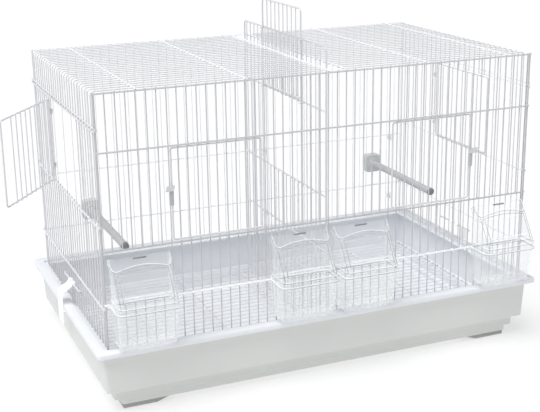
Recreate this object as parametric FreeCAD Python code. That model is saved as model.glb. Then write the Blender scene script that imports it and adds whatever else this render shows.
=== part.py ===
import FreeCAD, Part
import math
import os

# Wire cage: sizes in millimetres, +Z up, front towards -Y, origin on the floor under the tray's middle
bar_pitch = 12.0
front_pitches = 48
side_bar_pitch = 12.9
side_pitches = 26
fine_wire = 1.8
stout_wire = 2.4
wire_height = 305.0
top_bend = 4.0
running_gap = 0.4
seat_gap = 0.3

# Cross wires: heights above the tray's rim, and drops below the top
front_lower = 54.0
front_middle = 120.0
front_upper_drop = 68.0
back_lower = 48.0
back_upper = 128.0
end_lower = 48.0
end_middle = 148.0
end_upper_drop = 39.0
end_upper_spacing = 4.8
clip_wire_height = 26.0
clip_wire_half_length = 40.0

# Front layout in bar pitches: feeder, door, feeder, then the same mirrored
feeder_pitches = 7
door_pitches = 10

# Tray
foot_height = 9.0
tray_depth = 77.0
tray_wall = 2.5
rim_overhang = 17.0
rim_skirt = 7.0
rim_round = 2.0
rim_corner = 8.0
ledge_drop = 4.0
ledge_clearance = 4.5
ledge_reach = 1.5
wall_overhang = 8.0
wall_draft = 2.5
wall_corner = 6.0
plinth_height = 20.0
plinth_inset = (5.0, 2.5)
base_height = 6.0
base_inset = (14.0, 5.0)
foot_length = 62.0
foot_depth = 45.0
foot_slope = 19.0
foot_inset = 2.4

# Floor grate
grate_pitch = 12.0
grate_bars_each_side = 13
grate_clearance = 0.3
grate_bend = 8.0
grate_cross_pitches = 8
grate_crosses_each_side = 2

# Top of the cage: places of the cross wires, and the divider's slot
top_cross_left = (-240.0, -108.0)
top_cross_right = (132.0, 252.0)
slot_left = 0.0
slot_width = 24.0

# Front doors and nest doors
door_bend = 3.0
door_rail_gap = 0.8
door_stile_gap = 2.6
hinge_stile_gap = 5.0
eye_bore = 1.35
eye_wall = 1.0
eye_height = 7.0
eye_inset = 14.0
catch_lap = 1.5
catch_width = 5.6
catch_height = 26.0
catch_sheet = 1.2
catch_tab_width = 10.0
catch_tab_height = 9.0
nest_first_bar = 7
nest_last_bar = 18
nest_open_angle = 37.0

# Divider and its sliding door
divider_x = 8.0
divider_pitch = 13.5
divider_pitches = 20
divider_back_y = 129.0
divider_above_top = 26.0
divider_cross = 66.0
divider_bend = 6.0
divider_gate_first = 6
divider_gate_last = 15
gate_bottom = 140.0
gate_top_drop = 55.0
gate_rise = 112.0
gate_overlap = 2.0
gate_lap = 5.0
hook_sheet = 1.6
hook_height = 2.0

# Feeders
feeder_clearance = 3.0
feeder_wall = 1.6
feeder_reach = 43.0
feeder_draft = 7.0
feeder_corner = 6.0
cup_bottom = 8.0
cup_side_draft = 2.5
cup_rim = 2.0
cup_rim_height = 2.4
cup_lip_reach = 8.0
cup_lip_inset = 5.0
hood_inset = 2.5
hood_lip = 6.0
hood_shoulder_height = 101.0
hood_shoulder_reach = 17.3
hood_rise = 10.0
hood_slot_length = 20.0
hood_slot_width = 2.4
hood_slot_inset = 3.0
lid_margin = 8.0
lid_top_margin = 7.0
lid_bottom_margin = 8.0
lid_sheet = 1.6
lid_gap = 0.5
lid_barrel = 1.6
lid_pull = 3.0

# Perches
left_perch_bar = 5.5
left_perch_height = 72.0
right_perch_bar = 43.5
right_perch_height = 88.0
perch_diameter = 10.4
perch_length = 186.0
perch_socket_gap = 0.15
perch_socket_depth = 8.0
cap_length = 9.0
cap_overhang = 0.3
holder_width = 25.0
holder_height = 28.0
holder_depth = 12.0
holder_round = 5.0
plate_sheet = 3.0
plate_margin = 2.0
screw_diameter = 4.0
screw_head = 8.0
screw_head_height = 2.6

# Tray clips
clip_width = 20.8
clip_sheet = 2.0
clip_ring_wall = 1.4
clip_ring_gap = 0.3
clip_ring_inset = 2.5
clip_rim_gap = 0.8
clip_catch = 2.4
clip_catch_gap = 1.2
clip_tail = 14.0

X = FreeCAD.Vector(1, 0, 0)
Y = FreeCAD.Vector(0, 1, 0)
Z = FreeCAD.Vector(0, 0, 1)
ROUND_SIDES = 8
FINE_SIDES = 4
CORNER_STEPS = 3

# Places worked out from the sizes above
half_length = front_pitches * bar_pitch / 2
half_depth = side_pitches * side_bar_pitch / 2
layer = (fine_wire + stout_wire) / 2
rim_z = foot_height + tray_depth
ledge_z = rim_z - ledge_drop
top_z = rim_z + wire_height
wire_end_z = top_z + fine_wire / 2
lower_z = rim_z + front_lower
middle_z = rim_z + front_middle
upper_z = top_z - front_upper_drop
end_middle_z = rim_z + end_middle
end_upper_z = top_z - end_upper_drop
end_double_z = end_upper_z - end_upper_spacing
step_z = foot_height + plinth_height
grate_z = step_z + tray_wall + stout_wire / 2
grate_top = grate_z + stout_wire / 2 + fine_wire
slot_right = slot_left + slot_width
divider_front_y = divider_back_y - divider_pitches * divider_pitch
front_y = -half_depth
front_outer_y = front_y - fine_wire / 2 - stout_wire
back_y = half_depth
perch_places = {
    "left": (left_perch_bar, left_perch_height),
    "right": (right_perch_bar, right_perch_height),
}


def vec(x, y, z):
    return FreeCAD.Vector(x, y, z)


def bar_x(index):
    return -half_length + index * bar_pitch


def bar_y(index):
    return -half_depth + index * side_bar_pitch


def flat(points):
    return Part.Face(Part.makePolygon(points + points[:1]))


# A closed solid between two rings of points that match one to one
def between(low, high):
    faces = [flat(low), flat(high)]
    for i in range(len(low)):
        j = (i + 1) % len(low)
        faces.append(flat([low[i], low[j], high[j], high[i]]))
    return Part.makeSolid(Part.makeShell(faces))


# A straight wire of many-sided section, one flat turned to the side called facing, ends square or mitred
def bar(start, end, facing, across, sides, start_cut=None, end_cut=None):
    axis = (end - start).normalize()
    side = axis.cross(facing)
    radius = across / 2 / math.cos(math.pi / sides)
    rings = []
    for point, cut in ((start, start_cut or axis), (end, end_cut or axis)):
        ring = []
        for i in range(sides):
            angle = math.pi / sides * (2 * i + 1)
            offset = facing * (radius * math.cos(angle)) + side * (radius * math.sin(angle))
            ring.append(point + offset - axis * (offset.dot(cut) / axis.dot(cut)))
        rings.append(ring)
    return between(rings[0], rings[1])


def fine(start, end, facing):
    return bar(start, end, facing, fine_wire, FINE_SIDES)


def stout(start, end, facing):
    return bar(start, end, facing, stout_wire, ROUND_SIDES)


# A closed loop of stout wire in one plane, its corners cut back by a bend, as mitred straight lengths
def wire_loop(corners, normal, bend):
    points = []
    count = len(corners)
    for i, corner in enumerate(corners):
        for other in (corners[i - 1], corners[(i + 1) % count]):
            points.append(corner + (other - corner).normalize() * bend)
    total = len(points)
    runs = [(points[(i + 1) % total] - points[i]).normalize() for i in range(total)]
    bars = []
    for i in range(total):
        start_cut = runs[i - 1] + runs[i]
        end_cut = runs[i] + runs[(i + 1) % total]
        bars.append(
            bar(points[i], points[(i + 1) % total], normal, stout_wire, ROUND_SIDES, start_cut, end_cut)
        )
    return bars


# An eye that turns on a hinge wire along Z, its shank reaching a stile's flat on the side called towards
def hinge_eye(x, y, z, towards, reach):
    outer = eye_bore + eye_wall
    base = vec(x, y, z)
    ring = bar(base, base + Z * eye_height, towards, 2 * outer, ROUND_SIDES)
    across = Z.cross(towards) * outer
    tip = base + towards * reach
    shank = flat([base - across, tip - across, tip + across, base + across]).extrude(Z * eye_height)
    bore = bar(base, base + Z * eye_height, towards, 2 * eye_bore, ROUND_SIDES)
    return ring.fuse(shank).cut(bore).removeSplitter()


# Centre, start, middle and end of each corner arc of a rounded rectangle
def corner_arcs(half_x, half_y, corner, z):
    arcs = []
    for sx, sy in ((1, 1), (-1, 1), (-1, -1), (1, -1)):
        centre = vec(sx * (half_x - corner), sy * (half_y - corner), z)
        first = centre + (X * sx if sx * sy > 0 else Y * sy) * corner
        last = centre + (Y * sy if sx * sy > 0 else X * sx) * corner
        arcs.append((centre, first, centre + (X * sx + Y * sy).normalize() * corner, last))
    return arcs


def rounded_face(arcs):
    edges = []
    for i, (centre, first, middle, last) in enumerate(arcs):
        edges.append(Part.Arc(first, middle, last).toShape())
        edges.append(Part.makeLine(last, arcs[(i + 1) % 4][1]))
    return Part.Face(Part.Wire(edges))


# A block with rounded corners, its sides upright or spreading evenly by grow up to its top
def rounded_block(half_x, half_y, corner, z0, z1, grow=0.0):
    low = corner_arcs(half_x, half_y, corner, z0)
    if not grow:
        return rounded_face(low).extrude(Z * (z1 - z0))
    high = corner_arcs(half_x + grow, half_y + grow, corner + grow, z1)
    faces = [rounded_face(low), rounded_face(high)]
    for i in range(4):
        j = (i + 1) % 4
        faces.append(flat([low[i][3], low[j][1], high[j][1], high[i][3]]))
        cone = Part.makeCone(corner, corner + grow, z1 - z0, low[i][0], Z, 90)
        cone.rotate(low[i][0], Z, 90 * i)
        faces.append(cone.Faces[0])
    shell = Part.makeShell(faces)
    shell.sewShape()
    return Part.makeSolid(shell)


def tray_block(over_x, over_y, corner, z0, z1, grow=0.0):
    return rounded_block(half_length + over_x, half_depth + over_y, corner, z0, z1, grow)


# Solid outside first: rim with its skirt, wall, and two tiers below. The hollows follow the same steps.
def base_tray():
    skirt_z = rim_z - rim_skirt
    shoulder_z = rim_z - rim_round
    plate_z = rim_z - tray_wall
    shelf_z = ledge_z - tray_wall
    base_z = foot_height + base_height
    low_wall = wall_overhang - wall_draft
    rim = tray_block(rim_overhang, rim_overhang, rim_corner, skirt_z, shoulder_z)
    rim = rim.fuse([tray_block(rim_overhang, rim_overhang, rim_corner, shoulder_z, rim_z, -rim_round)])
    wall = tray_block(low_wall, low_wall, wall_corner, step_z, plate_z, wall_draft)
    skirt_inside = rim_overhang - tray_wall
    gutter = tray_block(skirt_inside, skirt_inside, rim_corner - tray_wall, skirt_z, plate_z).cut(wall)
    tiers = []
    hollows = [tray_block(ledge_clearance, ledge_clearance, wall_corner - tray_wall, ledge_z, rim_z)]
    hollows.append(Part.makeBox(
        2 * (half_length - ledge_reach), 2 * (half_depth - ledge_reach), tray_wall,
        vec(ledge_reach - half_length, ledge_reach - half_depth, shelf_z),
    ))
    inside_wall = low_wall - tray_wall
    inside_corner = wall_corner - tray_wall
    floor_z = step_z + tray_wall
    hollows.append(tray_block(inside_wall, inside_wall, inside_corner, floor_z, shelf_z, wall_draft))
    for inset, low, high in ((plinth_inset, base_z, step_z), (base_inset, foot_height, base_z)):
        tiers.append(tray_block(-inset[0], -inset[1], wall_corner, low, high))
        half_x = half_length - inset[0] - tray_wall
        half_y = half_depth - inset[1] - tray_wall
        corner = vec(-half_x, -half_y, low + tray_wall)
        hollows.append(Part.makeBox(2 * half_x, 2 * half_y, high - low, corner))
    tray = rim.cut(gutter).fuse([wall] + tiers)
    for hollow in hollows:
        tray = tray.cut(hollow)
    return tray.removeSplitter()


def tray_feet():
    outer_x = half_length - base_inset[0] - foot_inset
    outer_y = half_depth - base_inset[1] - foot_inset
    feet = []
    for sx in (-1, 1):
        for sy in (-1, 1):
            side = [
                vec(sx * outer_x, sy * outer_y, foot_height),
                vec(sx * outer_x, sy * outer_y, 0),
                vec(sx * (outer_x - foot_length + foot_slope), sy * outer_y, 0),
                vec(sx * (outer_x - foot_length), sy * outer_y, foot_height),
            ]
            feet.append(flat(side).extrude(Y * (-sy * foot_depth)))
    return feet


def floor_grate():
    inset = ledge_reach + grate_clearance + stout_wire / 2
    half_x = half_length - inset
    half_y = half_depth - inset
    corners = [vec(-half_x, -half_y, grate_z), vec(half_x, -half_y, grate_z)]
    corners += [vec(half_x, half_y, grate_z), vec(-half_x, half_y, grate_z)]
    bars = wire_loop(corners, Z, grate_bend)
    top = grate_z + stout_wire / 2 + fine_wire / 2
    for i in range(-grate_bars_each_side, grate_bars_each_side + 1):
        y = i * grate_pitch
        bars.append(fine(vec(-half_x, y, top), vec(half_x, y, top), Z))
    inner_y = half_y - stout_wire / 2
    for i in range(-grate_crosses_each_side, grate_crosses_each_side + 1):
        x = i * grate_cross_pitches * grate_pitch
        bars.append(stout(vec(x, -inner_y, grate_z), vec(x, inner_y, grate_z), Z))
    return bars


door_first = feeder_pitches
door_last = feeder_pitches + door_pitches
middle_bar = front_pitches // 2
door_windows = [(door_first, door_last), (front_pitches - door_last, front_pitches - door_first)]
feeder_windows = [
    (0, feeder_pitches),
    (door_last, middle_bar),
    (middle_bar, front_pitches - door_last),
    (front_pitches - door_first, front_pitches),
]
front_hinges = (door_last, front_pitches - door_last)


def inside(index, windows):
    return any(first < index < last for first, last in windows)


# An upright whose stretch between two cross wires is round, for hinge eyes to turn on
def hinge_upright(x, y, low, high, end, facing):
    reach = stout_wire / 2
    start = low + reach
    pin = Part.makeCylinder(fine_wire / 2, high - low - 2 * reach, vec(x, y, start))
    lower = fine(vec(x, y, ledge_z), vec(x, y, start), facing)
    return [lower, pin, fine(vec(x, y, high - reach), vec(x, y, end), facing)]


def front_panel():
    reach = stout_wire / 2
    bars = []
    for index in range(front_pitches + 1):
        x = bar_x(index)
        if index in front_hinges:
            bars += hinge_upright(x, front_y, middle_z, upper_z, wire_end_z, -Y)
            continue
        spans = [(ledge_z, wire_end_z)]
        if inside(index, door_windows):
            spans = [(ledge_z, middle_z + reach), (upper_z - reach, wire_end_z)]
        if inside(index, feeder_windows):
            spans = [(ledge_z, lower_z + reach), (middle_z - reach, wire_end_z)]
        bars += [fine(vec(x, front_y, low), vec(x, front_y, high), -Y) for low, high in spans]
    return bars + cross_wires(front_y - layer, (lower_z, middle_z, upper_z, wire_end_z - reach))


def cross_wires(y, heights):
    end_x = half_length + fine_wire / 2
    return [stout(vec(-end_x, y, z), vec(end_x, y, z), Z) for z in heights]


def back_panel():
    bars = []
    for index in range(front_pitches + 1):
        x = bar_x(index)
        bars.append(fine(vec(x, back_y, ledge_z), vec(x, back_y, wire_end_z), Y))
    heights = (rim_z + back_lower, rim_z + back_upper, wire_end_z - stout_wire / 2)
    return bars + cross_wires(back_y + layer, heights)


# Uprights of one end with the bend that turns them into the top, and the cross wires outside them
def end_panel(side):
    x = side * half_length
    out = X * side
    slant = (Z - out).normalize()
    shoulder_z = top_z - top_bend
    reach = stout_wire / 2
    bars = []
    for index in range(1, side_pitches):
        y = bar_y(index)
        shoulder = vec(x, y, shoulder_z)
        bend_end = vec(x - side * top_bend, y, top_z)
        mitre = Z + slant
        if index == nest_last_bar:
            lower, pin, upper = hinge_upright(x, y, end_middle_z, end_double_z, shoulder_z, out)
            bars += [lower, pin]
            starts = [end_double_z - reach]
        elif nest_first_bar < index < nest_last_bar:
            bars.append(fine(vec(x, y, ledge_z), vec(x, y, end_middle_z + reach), out))
            starts = [end_double_z - reach]
        else:
            starts = [ledge_z]
        bars += [bar(vec(x, y, z), shoulder, out, fine_wire, FINE_SIDES, None, mitre) for z in starts]
        out_slant = (Z + out).normalize()
        bars.append(bar(shoulder, bend_end, out_slant, fine_wire, FINE_SIDES, mitre, slant - out))
    cross_x = x + side * layer
    end_y = half_depth + fine_wire / 2
    for z in (rim_z + end_lower, end_middle_z, end_double_z, end_upper_z):
        bars.append(stout(vec(cross_x, -end_y, z), vec(cross_x, end_y, z), Z))
    clip_z = rim_z + clip_wire_height
    half = clip_wire_half_length
    clip_wire = Part.makeCylinder(stout_wire / 2, 2 * half, vec(cross_x, -half, clip_z), Y)
    return bars + [clip_wire]


def top_half(side, crosses, slot_x):
    bars = []
    start_x = side * (half_length - top_bend)
    end_x = slot_x - side * stout_wire / 2
    out = X * side
    slant = (Z - out).normalize()
    for index in range(1, side_pitches):
        y = bar_y(index)
        start = vec(start_x, y, top_z)
        bars.append(bar(start, vec(end_x, y, top_z), Z, fine_wire, FINE_SIDES, slant - out))
    cross_z = top_z + layer
    end_y = half_depth + fine_wire / 2 + stout_wire
    for x in crosses + (slot_x,):
        bars.append(stout(vec(x, -end_y, cross_z), vec(x, end_y, cross_z), Z))
    return bars


# Rings that hold the end panels' paired cross wires to the corner wires
def corner_hooks():
    height = end_upper_spacing - stout_wire
    base_z = end_double_z + stout_wire / 2
    rings = []
    for sx in (-1, 1):
        for y in (front_y, back_y):
            place = vec(sx * half_length, y, base_z)
            outer = bar(place, place + Z * height, X, 2 * (eye_bore + eye_wall), ROUND_SIDES)
            rings.append(outer.cut(bar(place, place + Z * height, X, 2 * eye_bore, ROUND_SIDES)))
    return rings


# A wire door in the plane at right angles to out, hung on the wire at the hinge point, spreading to away
def wire_door(hinge, away, out, width, height, bar_offsets):
    reach = stout_wire / 2
    low = door_rail_gap + 2 * reach
    high = height - low
    near = hinge + away * hinge_stile_gap
    far = hinge + away * (width - door_stile_gap)
    corners = [near + Z * low, far + Z * low, far + Z * high, near + Z * high]
    bars = wire_loop(corners, out, door_bend)
    for offset in bar_offsets:
        place = hinge + away * offset - out * layer
        bars.append(fine(place + Z * (low - reach), place + Z * (high + reach), out))
    for z in (low + eye_inset, high - eye_inset - eye_height):
        eye = hinge + Z * z
        bars.append(hinge_eye(eye.x, eye.y, eye.z, away, hinge_stile_gap - reach))
    return bars


def front_door(hinge_index, towards):
    hinge = vec(bar_x(hinge_index), front_y, middle_z)
    offsets = [i * bar_pitch for i in range(1, door_pitches)]
    return wire_door(hinge, X * towards, -Y, door_pitches * bar_pitch, upper_z - middle_z, offsets)


# A sheet catch on the door's free stile that laps over the window's edge wire, with a finger tab at its top
def door_catch(hinge_index, towards):
    stile_x = bar_x(hinge_index) + towards * (door_pitches * bar_pitch - door_stile_gap)
    sheet_y = front_y - stout_wire / 2
    low = (middle_z + upper_z) / 2 - catch_height / 2
    high = low + catch_height
    start_x = stile_x - towards * catch_lap
    edge_x = start_x + towards * catch_width
    tab_x = start_x + towards * catch_tab_width
    tab_z = high - catch_tab_height
    outline = [(start_x, low), (edge_x, low), (edge_x, tab_z), (tab_x, tab_z), (tab_x, high), (start_x, high)]
    return flat([vec(x, sheet_y, z) for x, z in outline]).extrude(Y * -catch_sheet)


# The bar next to the free edge is left out, which leaves room for a finger
def nest_door(side, angle):
    hinge = vec(side * half_length, bar_y(nest_last_bar), end_middle_z)
    pitches = nest_last_bar - nest_first_bar
    offsets = [i * side_bar_pitch for i in range(1, pitches - 1)]
    height = end_double_z - end_middle_z
    door = wire_door(hinge, -Y, X * side, pitches * side_bar_pitch, height, offsets)
    for piece in door:
        piece.rotate(hinge, Z, side * angle)
    return door


divider_cross_x = divider_x + layer
gate_low = rim_z + gate_bottom
gate_high = top_z - gate_top_drop
gate_x = divider_x - fine_wire / 2 - running_gap - stout_wire / 2
gate_back_y = divider_back_y - divider_gate_first * divider_pitch + gate_overlap
gate_front_y = divider_back_y - divider_gate_last * divider_pitch - gate_overlap
divider_top_z = top_z + divider_above_top
divider_bottom_z = grate_top + seat_gap + stout_wire / 2


def divider_panel():
    reach = stout_wire / 2
    low, high = divider_bottom_z, divider_top_z
    corners = [vec(divider_cross_x, divider_front_y, low), vec(divider_cross_x, divider_back_y, low)]
    corners += [vec(divider_cross_x, divider_back_y, high), vec(divider_cross_x, divider_front_y, high)]
    bars = wire_loop(corners, X, divider_bend)
    for z in (rim_z + divider_cross, gate_low, gate_high):
        start = vec(divider_cross_x, divider_front_y + reach, z)
        bars.append(stout(start, vec(divider_cross_x, divider_back_y - reach, z), X))
    for index in range(1, divider_pitches):
        y = divider_back_y - index * divider_pitch
        spans = [(low - reach, high + reach)]
        if divider_gate_first < index < divider_gate_last:
            spans = [(low - reach, gate_low + reach), (gate_high - reach, high + reach)]
        bars += [fine(vec(divider_x, y, z0), vec(divider_x, y, z1), X) for z0, z1 in spans]
    for stile_y, outward in ((gate_back_y, 1), (gate_front_y, -1)):
        bars += [gate_hook(stile_y, outward, z) for z in (gate_high, high)]
    return bars


# A hook on the divider's cross wire that reaches round the sliding door's stile
def gate_hook(stile_y, outward, z):
    reach = stout_wire / 2
    inner_y = stile_y + outward * (reach + running_gap)
    outer_y = inner_y + outward * hook_sheet
    tip_y = stile_y - outward * reach
    root_x = divider_cross_x - reach
    lip_x = gate_x - reach - running_gap
    base = z - hook_height / 2
    profile = [
        vec(root_x, inner_y, base),
        vec(root_x, outer_y, base),
        vec(lip_x - hook_sheet, outer_y, base),
        vec(lip_x - hook_sheet, tip_y, base),
        vec(lip_x, tip_y, base),
        vec(lip_x, inner_y, base),
    ]
    return flat(profile).extrude(Z * hook_height)


def divider_door():
    reach = stout_wire / 2
    low = gate_low + gate_lap - gate_overlap + gate_rise
    high = low + gate_high - gate_low + gate_lap
    corners = [vec(gate_x, gate_front_y, low), vec(gate_x, gate_back_y, low)]
    corners += [vec(gate_x, gate_back_y, high), vec(gate_x, gate_front_y, high)]
    bars = wire_loop(corners, X, divider_bend)
    for index in range(divider_gate_first + 1, divider_gate_last):
        y = divider_back_y - index * divider_pitch
        bars.append(fine(vec(gate_x, y, low + reach), vec(gate_x, y, high - reach), X))
    return bars


feeder_back_y = front_outer_y - seat_gap
feeder_half = feeder_pitches * bar_pitch / 2 - feeder_clearance
cup_rim_z = lower_z + stout_wire / 2 - cup_rim_height


def feeder_middle(window):
    first, last = feeder_windows[window]
    return (bar_x(first) + bar_x(last)) / 2


# Points of a rectangle with rounded front corners and square back corners, seen from above
def cup_ring(half, back, front, corner, z):
    points = [vec(half, back, z), vec(-half, back, z)]
    for sx, turn in ((-1, math.pi), (1, 1.5 * math.pi)):
        centre = vec(sx * (half - corner), front + corner, z)
        for step in range(CORNER_STEPS + 1):
            angle = turn + math.pi / 2 * step / CORNER_STEPS
            points.append(centre + vec(math.cos(angle), math.sin(angle), 0) * corner)
    return points


def feeder_cup(window):
    low_z = rim_z + cup_bottom
    front = front_y - feeder_reach
    high_half = feeder_half - cup_rim
    low_half = high_half - cup_side_draft
    high_front = front + cup_rim
    low_front = high_front + feeder_draft
    back = feeder_back_y
    top_z_cup = cup_rim_z + cup_rim_height
    outer = between(
        cup_ring(low_half, back, low_front, feeder_corner, low_z),
        cup_ring(high_half, back, high_front, feeder_corner, top_z_cup),
    )
    rim = flat(cup_ring(feeder_half, back, front, feeder_corner + cup_rim, cup_rim_z))
    lip_half = feeder_half - cup_lip_inset
    lip_z = lower_z + stout_wire / 2 + seat_gap
    lip_y = front_y + cup_lip_reach
    wall = feeder_wall
    lip = Part.makeBox(2 * lip_half, lip_y - back + wall, wall, vec(-lip_half, back - wall, lip_z))
    riser = Part.makeBox(2 * lip_half, wall, lip_z - cup_rim_z, vec(-lip_half, back - wall, cup_rim_z))
    hollow = between(
        cup_ring(low_half - wall, back - wall, low_front + wall, feeder_corner - wall, low_z + wall),
        cup_ring(high_half - wall, back - wall, high_front + wall, feeder_corner - wall, top_z_cup),
    )
    cup = outer.fuse([rim.extrude(Z * cup_rim_height)]).cut(hollow).fuse([riser, lip]).removeSplitter()
    cup.translate(X * feeder_middle(window))
    return cup


# Side outline of the hood: a lip on the cup, a long slope, a shoulder and a top that rises to the wires
def hood_points(inset):
    base = cup_rim_z + cup_rim_height
    out = front_y - feeder_reach + inset
    shoulder_y = front_y - hood_shoulder_reach + inset
    shoulder_z = rim_z + hood_shoulder_height - inset
    return [
        vec(0, feeder_back_y, base),
        vec(0, out, base),
        vec(0, out, base + hood_lip - inset / 2),
        vec(0, shoulder_y, shoulder_z),
        vec(0, feeder_back_y, shoulder_z + hood_rise),
    ]


slope_start = hood_points(0.0)[2]
slope_end = hood_points(0.0)[3]
slope_run = (slope_end - slope_start).normalize()
slope_out = vec(0, -slope_run.z, slope_run.y)
slope_length = (slope_end - slope_start).Length
hood_half = feeder_half - hood_inset
lid_half = hood_half - lid_margin
lid_axis = slope_end - slope_run * (lid_top_margin + lid_barrel) - slope_out * (lid_sheet / 2)
lid_length = slope_length - lid_top_margin - lid_bottom_margin - lid_barrel


# A slab lying along the hood's slope, from one distance to another below the lid's axis
def slope_slab(half, start, end, depth0, depth1):
    corners = []
    for along, depth in ((start, depth0), (end, depth0), (end, depth1), (start, depth1)):
        corners.append(lid_axis - slope_run * along + slope_out * depth - X * half)
    return flat(corners).extrude(X * (2 * half))


def feeder_hood(window):
    hood = flat(hood_points(0.0)).extrude(X * (2 * hood_half))
    hood.translate(X * -hood_half)
    inner_half = hood_half - feeder_wall
    hollow = flat(hood_points(feeder_wall)).extrude(X * (2 * inner_half))
    hollow.translate(X * -inner_half)
    slot_y = feeder_back_y - hood_slot_inset - hood_slot_width
    slot_corner = vec(-hood_slot_length / 2, slot_y, slope_end.z)
    slot = Part.makeBox(hood_slot_length, hood_slot_width, 2 * hood_rise, slot_corner)
    window_top = -lid_barrel - lid_gap
    window_end = lid_length + lid_gap
    depth = 2 * feeder_wall
    opening = slope_slab(lid_half + lid_gap, window_top, window_end, depth, -depth)
    hood = hood.cut(hollow).cut(slot).cut(opening).removeSplitter()
    hood.translate(X * feeder_middle(window))
    return hood


def feeder_lid(window):
    plate = slope_slab(lid_half, 0, lid_length, lid_sheet / 2, -lid_sheet / 2)
    pull = slope_slab(lid_half / 2, lid_length - lid_pull, lid_length, lid_sheet / 2, lid_pull)
    barrel = Part.makeCylinder(lid_barrel, 2 * lid_half, lid_axis - X * lid_half, X)
    lid = plate.fuse([pull, barrel]).removeSplitter()
    lid.translate(X * feeder_middle(window))
    return lid


# A block standing away from the back wires, its four corners cut off
def perch_block(x, z, y, half_width, half_height, depth, cut):
    points = []
    for sx, sz in ((1, 1), (-1, 1), (-1, -1), (1, -1)):
        side = vec(x + sx * half_width, y, z + sz * (half_height - cut))
        end = vec(x + sx * (half_width - cut), y, z + sz * half_height)
        points += [side, end] if sx * sz > 0 else [end, side]
    return flat(points).extrude(Y * depth)


def perch_pieces(name):
    index, height = perch_places[name]
    x = bar_x(index)
    z = rim_z + height
    wall_y = back_y - fine_wire / 2
    face_y = wall_y - holder_depth
    half_width, half_height = holder_width / 2, holder_height / 2
    holder = perch_block(x, z, face_y, half_width, half_height, holder_depth, holder_round)
    socket_radius = perch_diameter / 2 + perch_socket_gap
    holder = holder.cut(Part.makeCylinder(socket_radius, perch_socket_depth, vec(x, face_y, z), Y))
    rod_start = face_y + perch_socket_depth
    rod_length = perch_length - cap_length
    rod = Part.makeCylinder(perch_diameter / 2, rod_length, vec(x, rod_start, z), -Y)
    tip_y = rod_start - rod_length
    cap = Part.makeCylinder(perch_diameter / 2 + cap_overhang, cap_length, vec(x, tip_y, z), -Y)
    out_y = back_y + fine_wire / 2
    plate_half_width, plate_half_height = half_width - plate_margin, half_height - plate_margin
    plate_cut = holder_round - plate_margin
    plate = perch_block(x, z, out_y, plate_half_width, plate_half_height, plate_sheet, plate_cut)
    head_y = out_y + plate_sheet
    screw_tip, screw_root = vec(x, rod_start, z), vec(x, head_y, z)
    bore = bar(screw_tip, screw_root, Z, screw_diameter, ROUND_SIDES)
    holder = holder.cut(bore)
    plate = plate.cut(bore)
    shank = bar(screw_tip, screw_root, Z, screw_diameter - 2 * perch_socket_gap, ROUND_SIDES)
    head = bar(screw_root, screw_root + Y * screw_head_height, Z, screw_head, ROUND_SIDES)
    return {
        f"{name}_perch_rod": rod,
        "perch_caps": cap,
        "perch_holders": holder,
        "perch_plates": plate,
        "perch_screws": shank.fuse(head).removeSplitter(),
    }


# A clip that hangs on an end panel's short wire, each side of an upright, and catches under the rim's skirt
def tray_clip(side):
    pivot_x = half_length + layer
    pivot_z = rim_z + clip_wire_height
    bore = stout_wire / 2 + clip_ring_gap
    outer = bore + clip_ring_wall
    strap_x = pivot_x + bore
    rim_x = half_length + rim_overhang + clip_rim_gap
    skirt_z = rim_z - rim_skirt
    catch_top = skirt_z - clip_catch_gap
    tail_z = skirt_z - clip_tail + rim_round
    profile = [
        vec(strap_x, 0, pivot_z),
        vec(strap_x + clip_sheet, 0, pivot_z),
        vec(strap_x + clip_sheet, 0, pivot_z - outer),
        vec(rim_x + clip_sheet, 0, rim_z + clip_sheet),
        vec(rim_x + clip_sheet, 0, tail_z),
        vec(rim_x + clip_sheet - clip_sheet / 2, 0, tail_z),
        vec(rim_x - clip_catch, 0, catch_top),
        vec(rim_x, 0, catch_top),
        vec(rim_x, 0, rim_z + clip_rim_gap),
        vec(strap_x, 0, pivot_z - outer),
    ]
    half = Y * (clip_width / 2)
    pivot = vec(pivot_x, 0, pivot_z)
    strap = flat(profile).extrude(half * 2)
    strap.translate(-half)
    inset = Y * clip_ring_inset
    barrels = [bar(pivot + half, pivot + inset, Z, 2 * outer, ROUND_SIDES)]
    barrels.append(bar(pivot - inset, pivot - half, Z, 2 * outer, ROUND_SIDES))
    hole = bar(pivot - half, pivot + half, Z, 2 * bore, ROUND_SIDES)
    clip = strap.fuse(barrels).cut(hole).removeSplitter()
    return clip if side > 0 else clip.mirror(vec(0, 0, 0), X)


def build():
    nodes = {
        "base_tray": [base_tray()],
        "tray_feet": tray_feet(),
        "floor_grate": floor_grate(),
        "front_panel": front_panel(),
        "back_panel": back_panel(),
        "left_end_panel": end_panel(-1),
        "right_end_panel": end_panel(1),
        "left_top_panel": top_half(-1, top_cross_left, slot_left),
        "right_top_panel": top_half(1, top_cross_right, slot_right),
        "corner_hooks": corner_hooks(),
        "left_front_door": front_door(front_hinges[0], -1),
        "right_front_door": front_door(front_hinges[1], 1),
        "left_door_catch": [door_catch(front_hinges[0], -1)],
        "right_door_catch": [door_catch(front_hinges[1], 1)],
        "left_nest_door": nest_door(-1, nest_open_angle),
        "right_nest_door": nest_door(1, 0.0),
        "divider_panel": divider_panel(),
        "divider_door": divider_door(),
        "left_tray_clip": [tray_clip(-1)],
        "right_tray_clip": [tray_clip(1)],
    }
    for name in perch_places:
        for node, solid in perch_pieces(name).items():
            nodes.setdefault(node, []).append(solid)
    for window in range(len(feeder_windows)):
        nodes[f"feeder_cup_{window + 1}"] = [feeder_cup(window)]
        nodes[f"feeder_hood_{window + 1}"] = [feeder_hood(window)]
        nodes[f"feeder_lid_{window + 1}"] = [feeder_lid(window)]
    return nodes


os.makedirs("parts", exist_ok=True)
for node, solids in build().items():
    shape = solids[0] if len(solids) == 1 else Part.makeCompound(solids)
    shape.exportStep(f"parts/{node}.step")
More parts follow.
